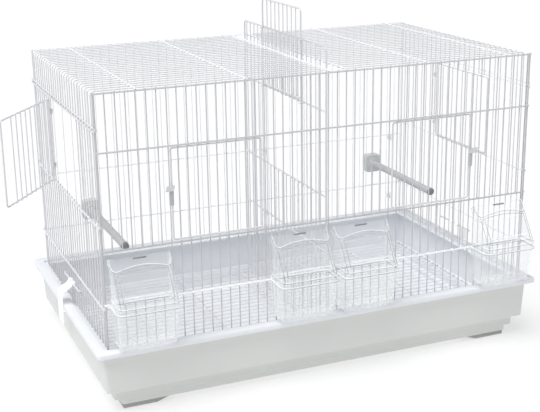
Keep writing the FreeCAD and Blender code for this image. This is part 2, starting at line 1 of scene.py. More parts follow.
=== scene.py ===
import bpy
import bmesh
import math
from mathutils import Matrix, Vector


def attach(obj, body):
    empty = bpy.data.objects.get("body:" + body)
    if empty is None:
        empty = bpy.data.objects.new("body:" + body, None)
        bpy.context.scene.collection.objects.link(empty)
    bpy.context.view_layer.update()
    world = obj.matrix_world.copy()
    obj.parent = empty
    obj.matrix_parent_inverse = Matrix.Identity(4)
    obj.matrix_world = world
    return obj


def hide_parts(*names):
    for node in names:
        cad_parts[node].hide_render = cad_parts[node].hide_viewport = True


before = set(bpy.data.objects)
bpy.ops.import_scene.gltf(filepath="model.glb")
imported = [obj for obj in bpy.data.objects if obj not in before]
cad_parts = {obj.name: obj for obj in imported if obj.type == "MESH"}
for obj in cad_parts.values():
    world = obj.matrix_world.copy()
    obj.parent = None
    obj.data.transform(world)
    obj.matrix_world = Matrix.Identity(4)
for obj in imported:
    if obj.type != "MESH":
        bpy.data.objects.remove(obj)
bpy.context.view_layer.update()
mm = 0.001


def at(x, y, z):
    return Vector((x, y, z)) * mm


def setAll(target, settings):
    for name, value in settings.items():
        setattr(target, name, value)


def addObject(name, data):
    made = bpy.data.objects.new(name, data)
    bpy.context.scene.collection.objects.link(made)
    return made


# Node trees: a socket that can stand in a sum or feed a texture, and a graph that makes any other node
class Value:
    def __init__(self, graph, socket):
        self.graph = graph
        self.socket = socket

    def combine(self, operation, first, second):
        return self.graph.node("ShaderNodeMath", {0: first, 1: second}, operation=operation)

    def __add__(self, other):
        return self.combine("ADD", self, other)

    def __rsub__(self, other):
        return self.combine("SUBTRACT", other, self)

    def __mul__(self, other):
        return self.combine("MULTIPLY", self, other)

    def __pow__(self, other):
        return self.combine("POWER", self, other)

    __radd__ = __add__
    __rmul__ = __mul__

    def stretch(self, *scale):
        return self.graph.node("ShaderNodeMapping", {"Vector": self, "Scale": scale})

    def noise(self, scale, detail):
        return self.graph.node("ShaderNodeTexNoise", {"Vector": self, "Scale": scale, "Detail": detail})

    def ramp(self, low, high):  # black up to one level, white from another
        shade = self.graph.node("ShaderNodeValToRGB", {"Fac": self})
        for stop, place in zip(shade.socket.node.color_ramp.elements, (low, high)):
            stop.position = place
        return shade

    def blend(self, *tones):
        first, second = (tone if isinstance(tone, Value) else (*tone, 1) for tone in tones)
        return self.graph.node("ShaderNodeMix", {0: self, 6: first, 7: second}, 2, data_type="RGBA")

    def bump(self, strength, distance):
        inputs = {"Height": self, "Strength": strength, "Distance": distance * mm}
        return self.graph.node("ShaderNodeBump", inputs)


class Graph:
    def __init__(self, tree):
        self.tree = tree

    def node(self, kind, inputs=None, out=0, extraItems=0, **settings):
        made = self.tree.nodes.new(kind)
        setAll(made, settings)
        for _ in range(extraItems):
            made.index_switch_items.new()
        for name, value in (inputs or {}).items():
            if isinstance(value, Value):
                self.tree.links.new(value.socket, made.inputs[name])
            else:
                made.inputs[name].default_value = value
        return Value(self, made.outputs[out]) if len(made.outputs) else None

    def geo(self, kind, inputs=None, **settings):
        return self.node("GeometryNode" + kind, inputs, **settings)


# Finishes: each starts from a place on the object
def startFinish(name):
    finish = bpy.data.materials.new(name)
    finish.use_nodes = True
    finish.node_tree.nodes.clear()
    graph = Graph(finish.node_tree)
    graph.finish = finish
    return graph.node("ShaderNodeTexCoord", out="Object")


def endFinish(place, colour, rough, normal=None, glow=0.0, others={}):
    shader = place.graph.node("ShaderNodeBsdfPrincipled", {
        "Base Color": colour, "Roughness": rough, "Emission Color": (1, 1, 1, 1), "Emission Strength": glow,
    } | ({"Normal": normal} if normal else {}) | others)
    place.graph.node("ShaderNodeOutputMaterial", {"Surface": shader})
    return place.graph.finish


coatBlue = 0.02  # how far the coats lean to blue
coatLook = {  # grey where clean, shaded and rubbed, painted glow; the front wires' and the corners' copies are darker, as painted shade, the pale copy lighter and glowing, as painted light
    "powderCoat": (0.83, 0.77, 0.62, 0.0), "frontPaintedShadeCoat": (0.66, 0.60, 0.46, 0.0),
    "paintedLightCoat": (0.93, 0.88, 0.70, 0.11), "deepPaintedShadeCoat": (0.60, 0.54, 0.44, 0.0),
}


def powderCoat(name):
    place = startFinish(name)
    *greys, glow = coatLook[name]
    clean, shaded, rubbed = ((grey, grey, grey + coatBlue) for grey in greys)
    cloud = place.noise(24, 3)
    peel = place.noise(1500, 2)
    rub = place.noise(210, 4).ramp(0.66, 0.78)
    colour = (rub * 0.5).blend(cloud.blend(shaded, clean), rubbed)
    rough = 0.34 + 0.14 * peel + 0.12 * rub
    return endFinish(place, colour, rough, (peel + 0.5 * cloud).bump(0.25, 0.12), glow)


trayTone = {  # pale, dull and scuffed tones, roughness, painted glow; the inside is painted lighter and bluer, with a glow, as painted light
    "trayOutside": ((0.795, 0.805, 0.788), (0.75, 0.762, 0.745), (0.66, 0.67, 0.65), 0.42, 0.0),
    "trayInsidePaintedLight": ((0.85, 0.87, 0.90), (0.81, 0.83, 0.86), (0.71, 0.73, 0.75), 0.30, 0.03),
}


def mouldedTray(name):
    place = startFinish(name)
    pale, dull, scuffed, smooth, glow = trayTone[name]
    flow = place.noise(7, 4)
    grain = place.noise(1100, 3)
    scuff = place.stretch(6, 6, 90).noise(6, 6).ramp(0.64, 0.74)
    colour = (scuff * 0.22).blend(flow.blend(dull, pale), scuffed)
    rough = smooth + 0.12 * grain + 0.10 * scuff
    # the glow is a bluish white, painted light
    others = {"Coat Weight": 0.08, "Emission Color": (0.95, 0.97, 1, 1)}
    return endFinish(place, colour, rough, (grain + 0.8 * flow).bump(0.18, 0.10), glow, others)


clearTones = ((0.90, 0.93, 0.95), (0.97, 0.99, 1.0))
clearLook = {  # opacity of faces and of edges, painted glow on both, tint
    "clearPlastic": (0.07, 0.58, 0.03, 0.34, 0.97), "clearLid": (0.09, 0.58, 0.04, 0.34, 0.97),
    "clearCup": (0.12, 0.44, 0.10, 0.14, 0.98),
    # painted highlight lines, then darker lines of painted shade
    "clearPaintedHighlight": (0.44, 0.20, 0.18, 0.08, 1.0), "clearShade": (0.30, 0.15, 0.0, 0.0, 0.60),
}


def clearPlastic(name):
    place = startFinish(name)
    face, edge, faceGlow, edgeGlow, tint = clearLook[name]
    rolled = place.graph.node("ShaderNodeLayerWeight", {"Blend": 0.45}, "Facing") ** 2.6
    flow = place.noise(30, 3)
    scratch = place.stretch(900, 900, 60).noise(1, 3).ramp(0.62, 0.72)
    alpha = face + edge * rolled + 0.03 * flow + 0.03 * scratch
    if name == "clearCup":  # painted glints along the bottom
        height = place.graph.node("ShaderNodeSeparateXYZ", {"Vector": place}, "Z")
        glint = place.noise(170, 3).ramp(0.50, 0.62)
        alpha = alpha + 0.12 * glint * (1 - height.ramp(0.096, 0.118))
    colour = flow.blend(*([part * tint for part in tone] for tone in clearTones))
    rough = 0.05 + 0.05 * flow + 0.22 * scratch
    # the glow is painted light, stronger at the edges as a painted highlight
    glow = (faceGlow + edgeGlow * rolled).blend((0, 0, 0), (0.97, 0.99, 1))
    others = {"Alpha": alpha, "IOR": 1.5, "Emission Color": glow}
    return endFinish(place, colour, rough, flow.bump(0.10, 0.25), 1.0, others)


plasticLook = {  # two tones, dust, roughness, scale and depth of the grain, painted glow
    "footRubber": ((0.40, 0.41, 0.41), (0.47, 0.48, 0.48), (0.53, 0.53, 0.53), 0.58, 1400, 0.2, 0.0),
    "holderGrey": ((0.60, 0.62, 0.62), (0.68, 0.70, 0.70), (0.76, 0.77, 0.77), 0.42, 1600, 0.12, 0.0),
    "capGrey": ((0.25, 0.25, 0.26), (0.31, 0.31, 0.32), (0.38, 0.38, 0.39), 0.45, 1500, 0.12, 0.0),
    "stripGrey": ((0.52, 0.52, 0.53), (0.60, 0.60, 0.61), (0.66, 0.66, 0.67), 0.35, 1500, 0.08, 0.0),
    "catchWhite": ((0.70, 0.71, 0.72), (0.80, 0.80, 0.81), (0.55, 0.55, 0.56), 0.35, 1500, 0.08, 0.0),
    # the tray clips' white is painted lighter and given a glow, as painted light
    "clipWhitePaintedLight": ((0.86, 0.87, 0.88), (0.91, 0.92, 0.92), (0.80, 0.80, 0.81), 0.34, 1500, 0.06, 0.28),
}


def plainPlastic(name):
    place = startFinish(name)
    first, second, dust, smooth, grainScale, grainDepth, glow = plasticLook[name]
    grain = place.noise(grainScale, 3)
    worn = place.noise(120, 5).ramp(0.58, 0.72)
    colour = (worn * 0.35).blend(place.noise(40, 4).blend(first, second), dust)
    rough = smooth + 0.12 * grain + 0.08 * worn
    return endFinish(place, colour, rough, grain.bump(0.35, grainDepth), glow)


def perchSkin():
    place = startFinish("perchSkin")
    streak = place.stretch(700, 28, 700).noise(1, 4)
    colour = streak.blend((0.46, 0.46, 0.47), (0.58, 0.58, 0.59))
    colour = (place.noise(60, 3) * 0.3).blend(colour, (0.66, 0.66, 0.66))
    return endFinish(place, colour, 0.48 + 0.18 * streak, streak.bump(0.4, 0.25))


def platedSteel():
    place = startFinish("platedSteel")
    flow = place.noise(300, 4)
    spot = place.noise(900, 3).ramp(0.6, 0.75)
    colour = flow.blend((0.55, 0.55, 0.57), (0.70, 0.70, 0.71))
    rough = 0.22 + 0.2 * flow + 0.2 * spot
    return endFinish(place, colour, rough, flow.bump(0.2, 0.08), others={"Metallic": 1 - 0.25 * spot})


coat, frontPaintedShadeCoat, paintedLightCoat, deepPaintedShadeCoat = map(powderCoat, coatLook)
trayOutside, trayInsidePaintedLight = map(mouldedTray, trayTone)
clearFinish, lidFinish, cupFinish, paintedHighlightFinish, shadeFinish = map(clearPlastic, clearLook)
footRubber, holderGrey, capGrey, stripGrey, catchWhite, clipWhitePaintedLight = map(plainPlastic, plasticLook)
perchFinish = perchSkin()
steel = platedSteel()
print("finishes:", len(bpy.data.materials))


# Geometry Nodes: inputs are given by kind, as words
def startTree(name, **inputs):
    tree = bpy.data.node_groups.new(name, "GeometryNodeTree")
    for kind, labels in inputs.items():
        for label in labels.split():
            tree.interface.new_socket(name=label, in_out="INPUT", socket_type="NodeSocket" + kind)
    tree.interface.new_socket(name="shape", in_out="OUTPUT", socket_type="NodeSocketGeometry")
    graph = Graph(tree)
    source = tree.nodes.new("NodeGroupInput")
    return graph, {socket.name: Value(graph, socket) for socket in source.outputs if socket.name}


def endTree(graph, shape, finish):
    real = graph.geo("RealizeInstances", {"Geometry": shape})
    dressed = graph.geo("SetMaterial", {"Geometry": real, "Material": finish})
    graph.node("NodeGroupOutput", {"shape": dressed})
    return graph.tree


def tube(graph, curve, radius, sides):
    ring = graph.geo("CurvePrimitiveCircle", {"Resolution": sides, "Radius": radius}, mode="RADIUS")
    return graph.geo("CurveToMesh", {"Curve": curve, "Profile Curve": ring, "Fill Caps": True})


def bentCurve(graph, curve, radius, count):
    inputs = {"Curve": curve, "Count": count, "Radius": radius, "Limit Radius": True}
    return graph.geo("FilletCurve", inputs, mode="POLY")


# a row of wires, each from first by way of bend to last, set side by side
def wireRowTree():
    graph, given = startTree(
        "wireRow", Vector="first bend last step wander", Float="wireRadius bendRadius",
        Int="count sides seed", Material="finish",
    )
    corner = graph.geo("IndexSwitch", {
        "Index": graph.geo("InputIndex"), 1: given["first"], 2: given["bend"], 3: given["last"],
    }, data_type="VECTOR", extraItems=1)
    line = graph.geo("MeshLine", {"Count": 3}, mode="OFFSET")
    line = graph.geo("SetPosition", {"Geometry": line, "Position": corner})
    path = bentCurve(graph, graph.geo("MeshToCurve", {"Mesh": line}), given["bendRadius"], 7)
    wire = tube(graph, path, given["wireRadius"], given["sides"])
    row = graph.geo("MeshLine", {"Count": given["count"], "Offset": given["step"]}, mode="OFFSET")
    lowest = graph.node("ShaderNodeVectorMath", {0: given["wander"], "Scale": -1.0}, operation="SCALE")
    drift = graph.node("FunctionNodeRandomValue", {
        "Min": lowest, "Max": given["wander"], "Seed": given["seed"],
    }, data_type="FLOAT_VECTOR")
    row = graph.geo("SetPosition", {"Geometry": row, "Offset": drift})
    return endTree(graph, graph.geo("InstanceOnPoints", {"Points": row, "Instance": wire}), given["finish"])


# a closed four-cornered frame of one wire
def wireLoopTree():
    graph, given = startTree(
        "wireLoop", Vector="corner1 corner2 corner3 corner4", Float="wireRadius bendRadius",
        Int="sides", Material="finish",
    )
    corners = {f"Point {i}": given[f"corner{i}"] for i in (1, 2, 3, 4)}
    loop = graph.geo("CurvePrimitiveQuadrilateral", corners, mode="POINTS")
    loop = bentCurve(graph, loop, given["bendRadius"], 8)
    return endTree(graph, tube(graph, loop, given["wireRadius"], given["sides"]), given["finish"])


# weld beads where a row of wires crosses another
def weldTree():
    graph, given = startTree("weldBeads", Vector="first step size", Int="count seed", Material="finish")
    row = graph.geo("MeshLine", {
        "Count": given["count"], "Start Location": given["first"], "Offset": given["step"],
    }, mode="OFFSET")
    drop = graph.geo("MeshUVSphere", {"Segments": 8, "Rings": 5, "Radius": 1.0})
    between = {2: 0.9, 3: 1.12, "Seed": given["seed"]}
    vary = graph.node("FunctionNodeRandomValue", between, 1, data_type="FLOAT")
    size = graph.node("ShaderNodeVectorMath", {0: given["size"], "Scale": vary}, operation="SCALE")
    beads = graph.geo("InstanceOnPoints", {"Points": row, "Instance": drop, "Scale": size})
    return endTree(graph, beads, given["finish"])


# an eye of coiled wire round an upright, with its end laid against a stile
def coilTree():
    graph, given = startTree(
        "hingeCoil", Vector="place stile", Float="coilRadius height turns wireRadius", Int="sides",
        Material="finish",
    )
    curve = graph.geo("CurveSpiral", {
        "Resolution": 18, "Rotations": given["turns"], "Height": given["height"],
        "Start Radius": given["coilRadius"], "End Radius": given["coilRadius"],
    })
    curve = graph.geo("Transform", {"Geometry": curve, "Translation": given["place"]})
    arm = graph.geo("CurvePrimitiveLine", {"Start": given["place"], "End": given["stile"]}, mode="POINTS")
    joined = graph.geo("JoinGeometry")
    for part in (curve, arm):
        wire = tube(graph, part, given["wireRadius"], given["sides"])
        graph.tree.links.new(wire.socket, joined.socket.node.inputs[0])
    return endTree(graph, joined, given["finish"])


# a rounded bead along any line of points
def beadTree():
    graph, given = startTree("seamBead", Geometry="line", Float="wireRadius", Int="sides", Material="finish")
    curve = graph.geo("MeshToCurve", {"Mesh": given["line"]})
    return endTree(graph, tube(graph, curve, given["wireRadius"], given["sides"]), given["finish"])


wireRow, wireLoop, weldBeads = wireRowTree(), wireLoopTree(), weldTree()
hingeCoil, seamBead = coilTree(), beadTree()
print("node trees:", [tree.name for tree in bpy.data.node_groups])


# Mesh code: what a mesh comes to under modifiers, each a kind, its settings and its tree's inputs
def worked(mesh, *modifiers):
    holder = addObject("holder", mesh)
    for kind, settings, inputs in modifiers:
        modifier = holder.modifiers.new(kind.lower(), kind)
        setAll(modifier, settings)
        for name, value in inputs.items():
            modifier[name] = value
    evaluated = holder.evaluated_get(bpy.context.evaluated_depsgraph_get())
    result = bpy.data.meshes.new_from_object(evaluated)
    bpy.data.objects.remove(holder)
    return result


def grow(tree, line=None, **values):
    sockets = {item.name: item.identifier for item in tree.interface.items_tree}
    inputs = {sockets[name]: value for name, value in values.items()}
    return worked(line or bpy.data.meshes.new("line"), ("NODES", {"node_group": tree}, inputs))


def bead(points, radius, finish, closed=False):
    line = bpy.data.meshes.new("line")
    edges = [(i, i + 1) for i in range(len(points) - 1)]
    line.from_pydata(points, edges + [(len(points) - 1, 0)] if closed else edges, [])
    return grow(seamBead, line, wireRadius=radius * mm, sides=8, finish=finish)


def bevel(width, segments=3, angle=32):
    return ("BEVEL", {
        "width": width * mm, "segments": segments,
        "limit_method": "ANGLE", "angle_limit": math.radians(angle),
    }, {})


def softened(mesh, *values):
    return worked(mesh, bevel(*values))


def finishMesh(shape, finish):
    mesh = bpy.data.meshes.new("shape")
    bmesh.ops.recalc_face_normals(shape, faces=shape.faces[:])
    shape.to_mesh(mesh)
    shape.free()
    mesh.materials.append(finish)
    return mesh


# rings of points joined in order, the first and last closed by a face
def loft(rings, finish):
    shape = bmesh.new()
    rows = [[shape.verts.new(point) for point in ring] for ring in rings]
    for low, high in zip(rows, rows[1:]):
        for i in range(len(low)):
            j = (i + 1) % len(low)
            shape.faces.new((low[i], low[j], high[j], high[i]))
    shape.faces.new(rows[0][::-1])
    shape.faces.new(rows[-1])
    return finishMesh(shape, finish)


def prism(outline, along, finish):
    return loft([outline, [point + along for point in outline]], finish)


# a round piece turned about a line along Y: pairs of distance along it and radius
def turned(place, direction, profile, finish, steps, shapeAt=None):
    rings = []
    for along, radius in profile:
        ring = []
        for i in range(steps):
            angle = 2 * math.pi * i / steps
            reach = shapeAt(angle, radius) if shapeAt else radius
            ring.append(place + at(reach * math.cos(angle), direction * along, reach * math.sin(angle)))
        rings.append(ring)
    return loft(rings, finish)


# pairs on an arc, its angles in degrees
def arc(a, b, radius, start, sweep, steps):
    angles = [math.radians(start + sweep * i / steps) for i in range(steps + 1)]
    return [(a + radius * math.cos(angle), b + radius * math.sin(angle)) for angle in angles]


# pairs round a rectangle with round corners
def roundBox(halfA, halfB, corner, steps):
    a, b = halfA - corner, halfB - corner
    quarters = ((a, b, 0), (-a, b, 90), (-a, -b, 180), (a, -b, 270))
    return [pair for x, y, start in quarters for pair in arc(x, y, corner, start, 90, steps)]


# a block with round corners seen along Y, which it is drawn out along
def roundBlock(place, halfWidth, halfHeight, depth, corner, steps, finish, soft):
    outline = [place + at(x, 0, z) for x, z in roundBox(halfWidth, halfHeight, corner, steps)]
    return softened(prism(outline, at(0, depth, 0), finish), *soft)


# a strip of sheet that follows a line of points, as wide as across
def sheetStrip(line, across, thickness, finish, sharpest=0.4):
    axis = across.normalized()
    runs = [(after - before).normalized() for before, after in zip(line, line[1:])]
    left, right = [], []
    for point, behind, ahead in zip(line, runs[:1] + runs, runs + runs[-1:]):
        side = (ahead + behind).normalized().cross(axis).normalized()
        scale = thickness * mm / 2 / max(side.dot(ahead.cross(axis).normalized()), sharpest)
        left.append(point + side * scale)
        right.append(point - side * scale)
    return prism(left + right[::-1], across, finish)


# joins meshes into one piece that rides a body and stands for CAD nodes
def piece(name, meshes, body, slot, *nodes, sharp=42, turn=None):
    whole = bmesh.new()
    finishes = list(dict.fromkeys(finish for mesh in meshes for finish in mesh.materials))
    for mesh in meshes:
        start = len(whole.faces)
        whole.from_mesh(mesh)
        whole.faces.ensure_lookup_table()
        for face in whole.faces[start:]:
            face.material_index = finishes.index(mesh.materials[face.material_index])
            face.smooth = True
    bmesh.ops.dissolve_degenerate(whole, dist=1e-6, edges=whole.edges[:])
    if turn:
        bmesh.ops.transform(whole, matrix=turn, verts=whole.verts)
    mesh = bpy.data.meshes.new(name)
    whole.to_mesh(mesh)
    whole.free()
    for finish in finishes:
        mesh.materials.append(finish)
    mesh.set_sharp_from_angle(angle=math.radians(sharp))
    made = addObject(name, mesh)
    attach(made, body)
    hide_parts(*nodes)
    mesh.calc_loop_triangles()
    print("piece", name, "on", body, len(mesh.loop_triangles), "triangles")


# Wires of the cage, in millimetres
cage = {
    "pitch": 12.0, "pitches": 48, "sidePitch": 12.9, "sidePitches": 26, "fine": 0.75, "stout": 1.1,
    "layer": 2.1, "ledge": 82.0, "top": 391.0, "endTop": 391.9, "bend": 4.5, "wander": 0.18, "sides": 12,
    "halfLength": 288.0, "halfDepth": 167.7, "coil": 1.78, "coilWire": 0.62, "coilSides": 8,
}
frontLook = {
    "doors": ((7, 17), (31, 41)), "feeders": ((0, 7), (17, 24), (24, 31), (41, 48)),
    "lower": 140.0, "middle": 206.0, "upper": 323.0,
}
backLook = {"crosses": (134.0, 214.0)}
endLook = {
    "lower": 134.0, "middle": 234.0, "double": 347.2, "upper": 352.0, "nest": (7, 18),
    "clip": 112.0, "clipHalf": 40.0, "cornerGap": 4.0, "cornerRadius": 0.9,
}
topLook = {"left": (-240.0, -108.0, 0.0), "right": (132.0, 252.0, 24.0), "radius": 0.85}
seedCount = iter(range(1, 1000))
halfLength, halfDepth, layer = cage["halfLength"], cage["halfDepth"], cage["layer"]
fine, stout, ledge, top, endTop = (cage[key] for key in ("fine", "stout", "ledge", "top", "endTop"))
barStep, barCount = (cage["pitch"], 0, 0), cage["pitches"] + 1
driftX, driftY = (cage["wander"], 0, 0), (0, cage["wander"], 0)
weldFront = (1.55, 1.0, 1.75)
weldEnd = (1.0, 1.55, 1.75)
weldTop = (1.3, 1.2, 0.9)
fourCorners = ((-1, -1), (-1, 1), (1, -1), (1, 1))


def wires(first, last, step=(0, 0, 0), count=1, wander=(0, 0, 0), finish=coat, radius=fine, bend=None):
    middle = bend or [(a + b) / 2 for a, b in zip(first, last)]
    return grow(
        wireRow, first=at(*first), bend=at(*middle), last=at(*last), step=at(*step), count=count,
        wireRadius=radius * mm, bendRadius=cage["bend"] * mm if bend else 0.0, sides=cage["sides"],
        wander=at(*wander), seed=next(seedCount), finish=finish,
    )


def loopOf(corners, bend):
    places = {f"corner{i}": at(*corner) for i, corner in enumerate(corners, 1)}
    return grow(
        wireLoop, **places, wireRadius=stout * mm, bendRadius=bend * mm, sides=cage["sides"], finish=coat,
    )


def welds(first, step, count, size, finish=coat):
    return grow(
        weldBeads, first=at(*first), step=at(*step), count=count, size=at(*size), seed=next(seedCount),
        finish=finish,
    )


def coil(place, stile, height, turns):
    return grow(
        hingeCoil, place=at(*place), stile=at(*stile), height=height * mm, turns=turns, finish=coat,
        coilRadius=cage["coil"] * mm, wireRadius=cage["coilWire"] * mm, sides=cage["coilSides"],
    )


def barX(index):
    return -halfLength + index * cage["pitch"]


def barY(index):
    return -halfDepth + index * cage["sidePitch"]


# a cross wire on the outer side of the front or back, welded to every upright
def longCross(y, out, z, finish):
    end, deep = halfLength + fine, y + out * layer
    return [
        wires((-end, deep, z), (end, deep, z), finish=finish, radius=stout),
        welds((-halfLength, y + out * fine, z), barStep, barCount, weldFront, finish),
    ]


def frontPanel(look=frontLook):
    y = -halfDepth
    made = []
    for index in sorted({edge for window in look["doors"] + look["feeders"] for edge in window}):
        # corner uprights take the darkest coat and the others a darker one, both painted shade
        radius, finish = (stout, deepPaintedShadeCoat) if index in (0, cage["pitches"]) else (fine, frontPaintedShadeCoat)
        made.append(wires((barX(index), y, ledge), (barX(index), y, endTop), finish=finish, radius=radius))
    # the short uprights above and below the windows take a darker coat, painted shade
    for windows, low, high in (
        (look["doors"], look["middle"], look["upper"]), (look["feeders"], look["lower"], look["middle"]),
    ):
        for first, last in windows:
            x = barX(first + 1)
            for z0, z1 in ((ledge, low + stout), (high - stout, endTop)):
                made.append(wires((x, y, z0), (x, y, z1), barStep, last - first - 1, driftX, frontPaintedShadeCoat))
    # the lower cross wire is painted lighter and glowing, as painted light; the middle one darkest, as
    # painted shade under the doors; the upper ones darker, as painted shade
    for z, finish in (
        (look["lower"], paintedLightCoat), (look["middle"], deepPaintedShadeCoat),
        (look["upper"], frontPaintedShadeCoat), (endTop - stout, frontPaintedShadeCoat),
    ):
        made += longCross(y, -1, z, finish)
    piece("frontWires", made, "cage", "white_wire", "front_panel")


def backPanel():
    y = halfDepth
    # the back wires are painted lighter and given a glow, as painted light
    made = [wires((-halfLength, y, ledge), (-halfLength, y, endTop), barStep, barCount, driftX, paintedLightCoat)]
    for z in backLook["crosses"] + (endTop - stout,):
        made += longCross(y, 1, z, paintedLightCoat)
    piece("backWires", made, "cage", "white_wire", "back_panel")


# one end and its half of the top: the uprights bend over and run on to the slot
def endAndTop(name, side, look=endLook):
    crosses = topLook[name]
    slotX, pitch = crosses[-1], cage["sidePitch"]
    x, crossX, weldX = (side * (halfLength + out) for out in (0, layer, fine))
    step = (0, pitch, 0)
    first, last = look["nest"]
    made = []
    for start, stop in ((1, first), (last, cage["sidePitches"] - 1)):
        y = barY(start)
        made.append(wires((x, y, ledge), (slotX, y, top), step, stop - start + 1, driftY, bend=(x, y, top)))
    y, count = barY(first + 1), last - first - 1
    made.append(wires((x, y, ledge), (x, y, look["middle"] + stout), step, count, driftY))
    made.append(wires((x, y, look["double"] - stout), (slotX, y, top), step, count, driftY, bend=(x, y, top)))
    for sy, finish in ((-1, deepPaintedShadeCoat), (1, coat)):  # a second upright beside each corner wire, the front one darkest, as painted shade
        y = sy * (halfDepth - look["cornerGap"])
        made.append(wires((x, y, ledge), (x, y, top), finish=finish, radius=look["cornerRadius"]))

    def cross(x, z, weldX, weldZ, half, bars, size, finish=coat, radius=stout):
        made.append(wires((x, -half, z), (x, half, z), finish=finish, radius=radius))
        made.append(welds((weldX, -bars * pitch, weldZ), step, 2 * bars + 1, size, finish))

    bars = cage["sidePitches"] // 2 - 1
    endY = halfDepth + fine
    # the right end's cross wires are painted lighter and glowing, as painted light
    for z in (look["lower"], look["middle"], look["double"], look["upper"]):
        cross(crossX, z, weldX, z, endY, bars, weldEnd, paintedLightCoat if side > 0 else coat)
    clip, half = look["clip"], look["clipHalf"]
    cross(crossX, clip, weldX, clip, half, int(half // pitch), weldEnd)
    # the top's cross wires are painted lighter and glowing, as painted light
    for place in crosses:
        reach = endY + 2 * stout
        cross(place, top + layer, place, top + fine, reach, bars, weldTop, paintedLightCoat, topLook["radius"])
    piece(name + "EndAndTopWires", made, "cage", "white_wire", name + "_end_panel", name + "_top_panel")


hookLook = {"lift": 0.9, "tail": 7.0, "height": 3.0, "turns": 1.6}


def cornerHooks(look=hookLook):
    made = []
    for sx, sy in fourCorners:
        for z in (endLook["lower"], endLook["middle"], endLook["double"] + look["lift"]):
            tail = (sx * (halfLength + layer), sy * (halfDepth - look["tail"]), z)
            made.append(coil((sx * halfLength, sy * halfDepth, z), tail, look["height"], look["turns"]))
    piece("cornerHooks", made, "cage", "white_wire", "corner_hooks")


grateLook = {
    "inset": 3.0, "height": 32.7, "bend": 8.0, "pitch": 12.0, "eachSide": 13,
    "crossPitch": 96.0, "crossSide": 2,
}


def floorGrate(look=grateLook):
    x, y, z = halfLength - look["inset"], halfDepth - look["inset"], look["height"]
    startY, step, count = -look["eachSide"] * look["pitch"], (0, look["pitch"], 0), 2 * look["eachSide"] + 1
    made = [loopOf([(-x, -y, z), (x, -y, z), (x, y, z), (-x, y, z)], look["bend"])]
    made.append(wires((-x, startY, z + layer), (x, startY, z + layer), step, count, driftY))
    places = [i * look["crossPitch"] for i in range(-look["crossSide"], look["crossSide"] + 1)]
    made += [wires((place, -y, z), (place, y, z), radius=stout) for place in places]
    made += [welds((place, startY, z + stout), step, count, weldTop) for place in places + [-x, x]]
    piece("grateWires", made, "cage", "white_wire", "floor_grate")


frontPanel()
backPanel()
endAndTop("left", -1)
endAndTop("right", 1)
cornerHooks()
floorGrate()

# Wire doors
doorLook = {
    "rail": 3.2, "hingeStile": 5.0, "freeStile": 2.6, "bend": 3.0,
    "eyeInset": 14.0, "eyeHeight": 7.0, "eyeEnd": 0.7, "turns": 3.2, "lastTurn": (0.01, 0.5),
}


# a door flat in its window, spreading from its hinge along one axis; out is the side its frame faces
def doorWires(hinge, away, out, width, height, pitch, count, finish, look=doorLook):
    low, high = hinge[2] + look["rail"], hinge[2] + height - look["rail"]

    def spot(reach, z, depth=0.0):
        return (hinge[0] + away[0] * reach - out[0] * depth, hinge[1] + away[1] * reach - out[1] * depth, z)

    near, far = look["hingeStile"], width - look["freeStile"]
    made = [loopOf([spot(near, low), spot(far, low), spot(far, high), spot(near, high)], look["bend"])]
    step = (away[0] * pitch, away[1] * pitch, 0)
    start, end = spot(pitch, low - stout, layer), spot(pitch, high + stout, layer)
    made.append(wires(start, end, step, count, driftX if away[0] else driftY, finish))
    size = weldFront if away[0] else weldEnd
    made += [welds(spot(pitch, z, layer - fine), step, count, size, finish) for z in (low, high)]
    tall = look["eyeHeight"] - 2 * look["eyeEnd"]
    for z in (low + look["eyeInset"], high - look["eyeInset"] - look["eyeHeight"]):
        foot = z + look["eyeEnd"]
        for level, turns in ((foot, (tall, look["turns"])), (foot + tall, look["lastTurn"])):
            made.append(coil((*hinge[:2], level), spot(near, level), *turns))
    return made


catchLook = {
    "lap": 1.5, "width": 5.6, "height": 26.0, "sheet": 1.2, "tab": (10.0, 9.0), "tabLap": 1.0,
    "tabStep": 0.05, "corner": 1.0, "tabCorner": 1.6, "cornerSteps": 4, "soft": (0.25, 2), "lean": 0.7,
}


def doorCatch(hingeX, towards, width, look=catchLook):
    y = -halfDepth - stout
    low = (frontLook["middle"] + frontLook["upper"]) / 2 - look["height"] / 2
    high = low + look["height"]
    startX = hingeX + towards * (width - doorLook["freeStile"] - look["lap"])
    tabWide, tabHigh = look["tab"]
    tabLow = high - tabHigh

    def plate(wide, z0, z1, corner, y, finish):
        place = at(startX + towards * wide / 2, y, (z0 + z1) / 2)
        values = (wide / 2, (z1 - z0) / 2, -look["sheet"], corner, look["cornerSteps"], finish, look["soft"])
        return roundBlock(place, *values)

    strip = plate(look["width"], low, tabLow + look["tabLap"], look["corner"], y, stripGrey)
    tab = plate(tabWide, tabLow, high, look["tabCorner"], y - look["tabStep"], catchWhite)
    for vert in tab.vertices:  # the tab leans out for a finger
        vert.co.y -= look["lean"] * max(vert.co.z - tabLow * mm, 0)
    return [strip, tab]


def frontDoor(name, hingeIndex, towards):
    first, last = frontLook["doors"][0]
    width = (last - first) * cage["pitch"]
    hinge = (barX(hingeIndex), -halfDepth, frontLook["middle"])
    height = frontLook["upper"] - frontLook["middle"]
    # the door's bars take a darker coat, painted shade
    made = doorWires(hinge, (towards, 0), (0, -1), width, height, cage["pitch"], last - first - 1, frontPaintedShadeCoat)
    piece(name + "FrontDoorWires", made, name + "_front_door", "white_wire", name + "_front_door")
    held = doorCatch(barX(hingeIndex), towards, width)
    piece(name + "DoorCatch", held, name + "_front_door", "white_plastic", name + "_door_catch")


nestLook = {"left": 37.0, "right": 0.0}  # angle at rest


